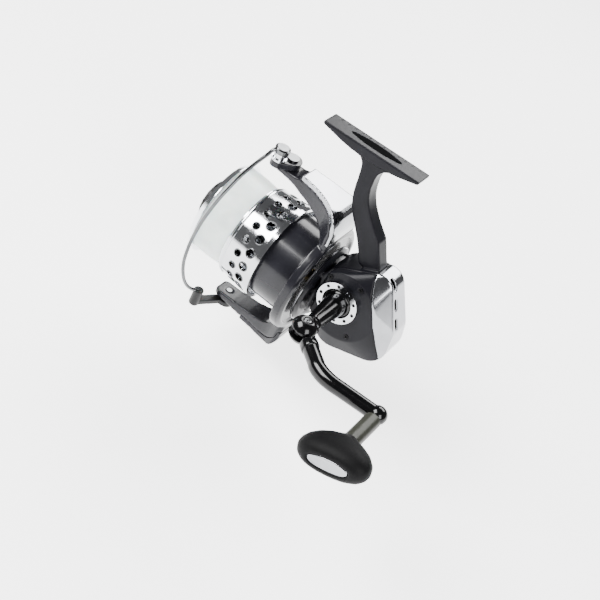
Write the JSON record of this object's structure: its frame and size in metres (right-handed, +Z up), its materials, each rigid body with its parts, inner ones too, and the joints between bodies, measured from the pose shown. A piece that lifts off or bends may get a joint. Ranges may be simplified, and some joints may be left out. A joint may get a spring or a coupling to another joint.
{
  "type": "spinning reel",
  "caption": "Large long-cast front-drag spinning reel with a perforated chrome spool skirt, wire bail, folding crank and oval knob.",
  "frame": {"origin": "centre of the reel foot's rod-contact face", "axes": "+X to the angler and rear of the reel, -Y to the handle side, +Z up into the rod"},
  "size_m": [0.2155, 0.1835, 0.1789],
  "materials": {
    "graphite": "satin",
    "foot_inlay": "matte",
    "silver": "satin",
    "chrome_trim": "polished",
    "dark_screw": "brushed",
    "bearing_steel": "polished",
    "gloss_black": "gloss",
    "gear_brass": "machined",
    "bright_steel": "polished",
    "olive_sleeve": "satin",
    "grip_rubber": "matte",
    "rotor_grey": "gloss",
    "black_plastic": "matte",
    "white_polymer": "satin",
    "cast_alloy": "cast",
    "spool_alloy": "polished",
    "nylon_line": "satin",
    "drag_fibre": "woven",
    "red_accent": "gloss"
  },
  "bodies": {
    "housing": {"body_frame": "graphite", "foot_pad": "foot_inlay", "side_cover": "graphite", "rear_cover": "silver", "side_ring": "chrome_trim", "cover_screws": "dark_screw", "far_cap": "graphite", "gear_bearings": "bearing_steel", "pinion_bearing": "bearing_steel", "clutch_shell": "bearing_steel", "clutch_rollers": "bearing_steel", "bearing_plate": "bearing_steel", "guide_rods": "bearing_steel", "collar_rim": "silver"},
    "crank": {"handle_shaft": "gloss_black", "drive_gear": "gear_brass", "handle_hub": "gloss_black", "fold_pin": "bright_steel"},
    "arm": {"crank_arm": "gloss_black", "knob_spindle": "bright_steel"},
    "knob": {"knob_sleeve": "olive_sleeve", "knob_grip": "grip_rubber", "knob_plate": "silver"},
    "rotor": {"rotor": "rotor_grey", "pinion_gear": "gear_brass", "clutch_sleeve": "bearing_steel", "rotor_nut": "gear_brass", "arm_cover": "silver", "lower_arm_cover": "rotor_grey"},
    "bail": {"bail_lever": "rotor_grey", "roller_cap": "bright_steel", "bail_wire": "bright_steel", "bail_holder": "black_plastic", "bail_screws": "bright_steel"},
    "roller": {"line_roller": "chrome_trim"},
    "oscillator": {"osc_gear": "white_polymer"},
    "shaft": {"main_shaft": "bright_steel", "cross_slider": "cast_alloy", "shaft_washer": "bright_steel"},
    "spool": {"spool_core": "spool_alloy", "spool_skirt": "chrome_trim", "wound_line": "nylon_line", "line_clip": "bright_steel", "drag_washers": "drag_fibre", "washer_clip": "bright_steel"},
    "drag": {"drag_knob": "black_plastic", "drag_cap": "red_accent"}
  },
  "joints": [
    {"name": "handle_crank", "type": "hinge", "parent": "housing", "child": "crank", "pos_m": [0.02457, 0, -0.10303], "axis": [0, -1, 0], "continuous": true},
    {"name": "handle_fold", "type": "hinge", "parent": "crank", "child": "arm", "pos_m": [0.02457, -0.06, -0.10303], "axis": [0, 0, -1], "range_deg": [0, 100]},
    {"name": "knob_spin", "type": "hinge", "parent": "arm", "child": "knob", "pos_m": [0.09607, -0.11, -0.10303], "axis": [0, -1, 0], "continuous": true},
    {"name": "rotor_spin", "type": "hinge", "parent": "housing", "child": "rotor", "pos_m": [0, 0, -0.1129], "axis": [0.9974, 0, -0.0715], "continuous": true},
    {"name": "oscillation_gear", "type": "hinge", "parent": "housing", "child": "oscillator", "pos_m": [0.03109, 0.009, -0.12114], "axis": [0, -1, 0], "continuous": true},
    {"name": "shaft_oscillation", "type": "slide", "parent": "housing", "child": "shaft", "axis": [0.9974, 0, -0.0715], "range_m": [0, 0.018]},
    {"name": "spool_spin", "type": "hinge", "parent": "shaft", "child": "spool", "pos_m": [-0.05985, 0, -0.10861], "axis": [0.9974, 0, -0.0715], "continuous": true},
    {"name": "drag_knob_turn", "type": "hinge", "parent": "shaft", "child": "drag", "pos_m": [-0.08977, 0, -0.10647], "axis": [0.9974, 0, -0.0715], "range_deg": [0, 720]},
    {"name": "bail_swing", "type": "hinge", "parent": "rotor", "child": "bail", "pos_m": [-0.05386, 0, -0.10904], "axis": [-0.0715, 0, -0.9974], "range_deg": [0, 110]},
    {"name": "line_roller_spin", "type": "hinge", "parent": "bail", "child": "roller", "pos_m": [-0.05434, -0.00953, -0.03882], "axis": [0.0715, 0, 0.9974], "continuous": true}
  ],
  "couplings": [
    {"joint": "rotor_spin", "follows": "handle_crank", "ratio": 4.1},
    {"joint": "oscillation_gear", "follows": "handle_crank", "ratio": -0.5}
  ]
}
